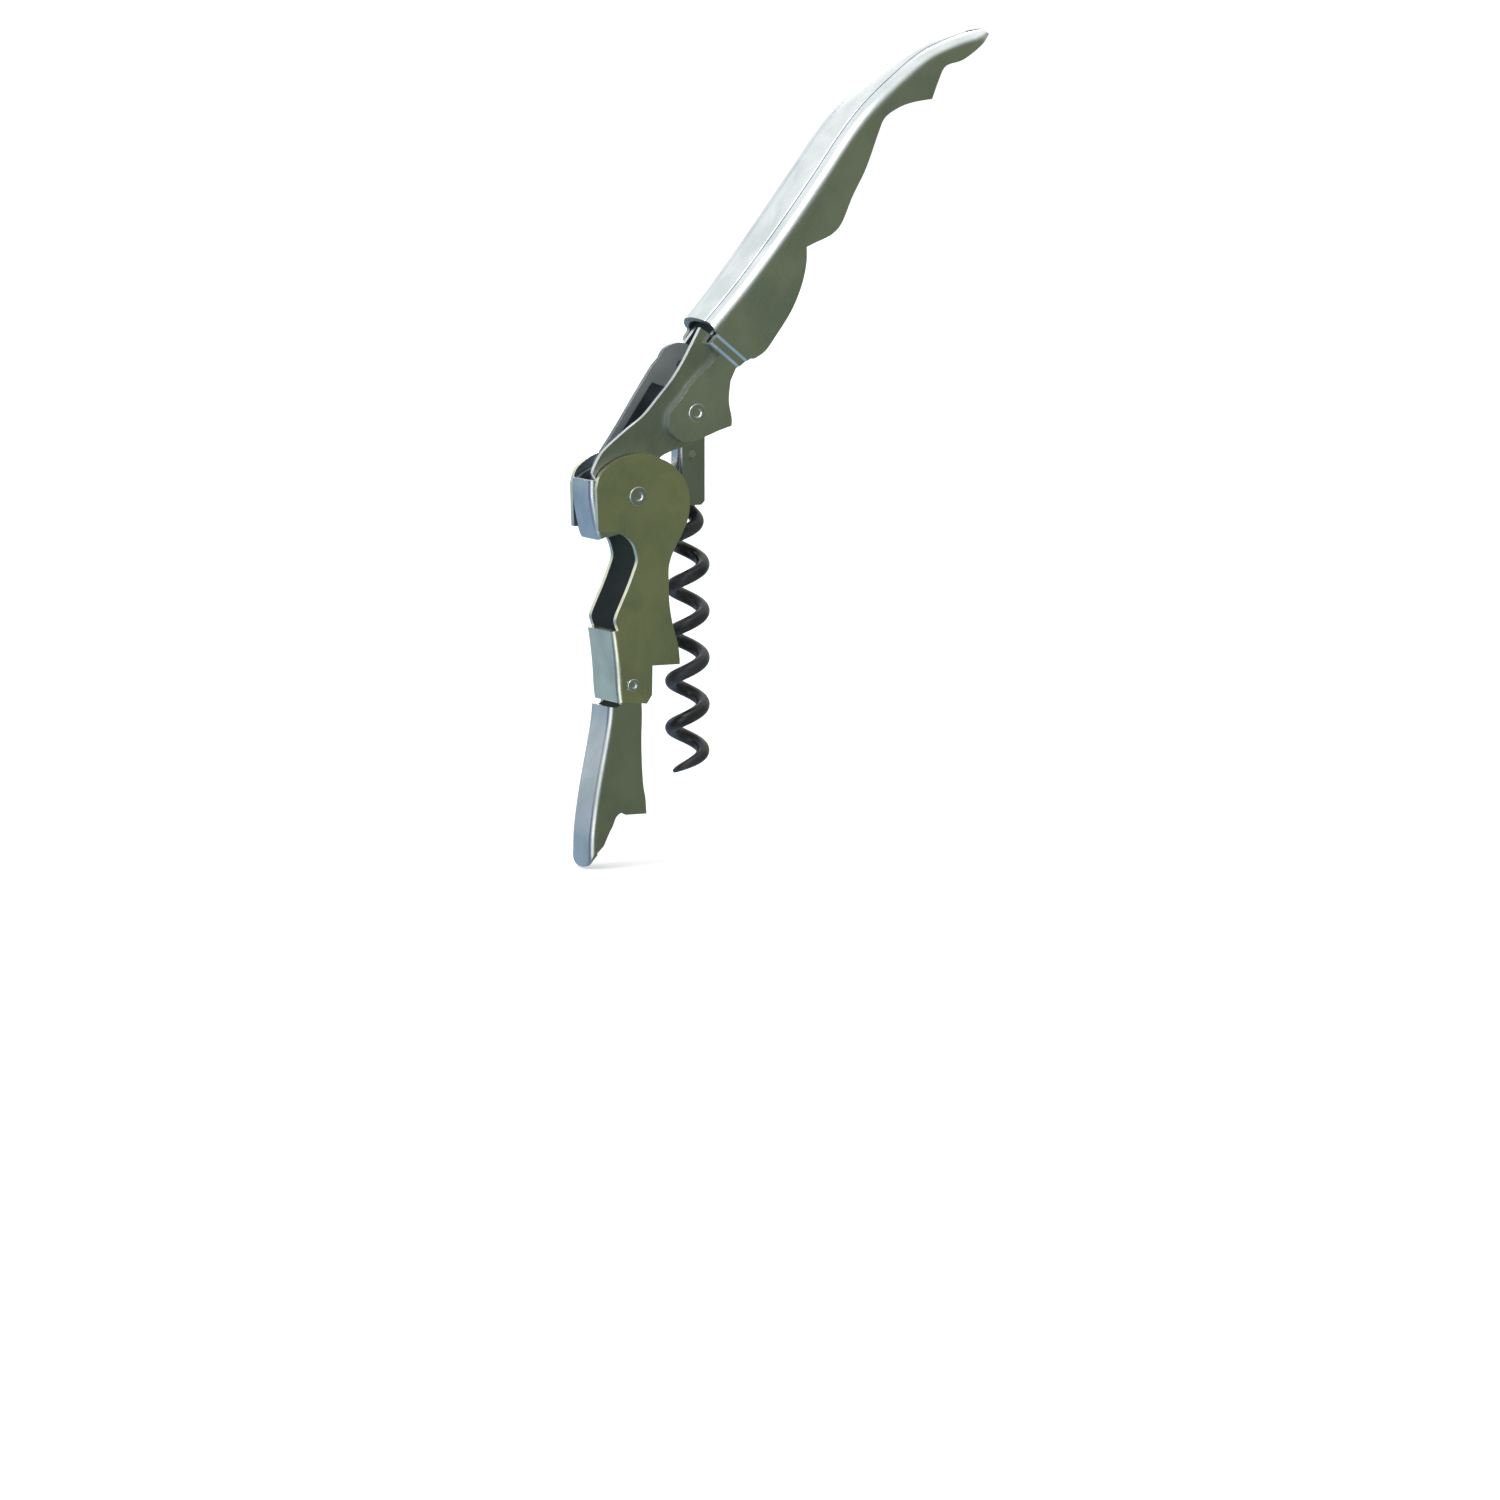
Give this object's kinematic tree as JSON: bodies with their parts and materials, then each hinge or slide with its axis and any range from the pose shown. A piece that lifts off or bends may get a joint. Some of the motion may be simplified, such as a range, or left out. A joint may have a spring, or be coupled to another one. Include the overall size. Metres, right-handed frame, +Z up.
{
  "type": "lever corkscrew",
  "caption": "Folded-steel waiter's corkscrew: grip handle, hinged lever with a step and a cap-lifter window, hinged second step, coated worm and a foil knife.",
  "frame": {"origin": "tip of the hanging worm", "axes": "+Z up along the worm, +X towards the handle's tail, +Y across the sheet-metal channels, XZ the plane of symmetry of the sheet-metal parts"},
  "size_m": [0.0852, 0.015, 0.1545],
  "materials": {
    "bright_steel": "stamped stainless sheet, fine brushed",
    "satin_steel": "satin stainless sheet",
    "blade_steel": "ground stainless blade",
    "rivet_steel": "turned steel rivet",
    "worm_coating": "black low-friction coating on steel wire"
  },
  "bodies": {
    "handle": {"handle_shell": "bright_steel", "inner_frame": "satin_steel", "lever_rivet_tube": "rivet_steel", "lever_rivet_core": "rivet_steel", "worm_rivet_tube": "rivet_steel", "worm_rivet_core": "rivet_steel", "knife_rivet": "rivet_steel", "lever_washer_near": "rivet_steel", "lever_washer_far": "rivet_steel", "carrier_spacer_near": "rivet_steel", "carrier_spacer_far": "rivet_steel"},
    "lever": {"lever_arm": "satin_steel", "step_rivet_tube": "rivet_steel", "step_rivet_core": "rivet_steel", "step_washer_near": "rivet_steel", "step_washer_far": "rivet_steel"},
    "link": {"step_link": "satin_steel"},
    "worm": {"worm_carrier": "satin_steel", "worm": "worm_coating", "worm_cross_pin": "rivet_steel"},
    "knife": {"knife_blade": "blade_steel"}
  },
  "joints": [
    {"name": "lever_pivot", "type": "hinge", "parent": "handle", "child": "lever", "pos_m": [-0.01025, 0, 0.05295], "axis": [0, -1, 0], "range_deg": [0, 104]},
    {"name": "worm_pivot", "type": "hinge", "parent": "handle", "child": "worm", "pos_m": [0.00215, 0, 0.068], "axis": [0, -1, 0], "range_deg": [0, 140.4]},
    {"name": "step_hinge", "type": "hinge", "parent": "lever", "child": "link", "pos_m": [-0.0113, 0, 0.01745], "axis": [0, -1, 0], "range_deg": [0, 79.04]},
    {"name": "knife_pivot", "type": "hinge", "parent": "handle", "child": "knife", "pos_m": [0.00293, 0, 0.07617], "axis": [0, -1, 0], "range_deg": [-112, 0]}
  ],
  "couplings": [
    {"joint": "worm_pivot", "follows": "lever_pivot", "ratio": 1.35},
    {"joint": "step_hinge", "follows": "lever_pivot", "ratio": 0.76}
  ]
}
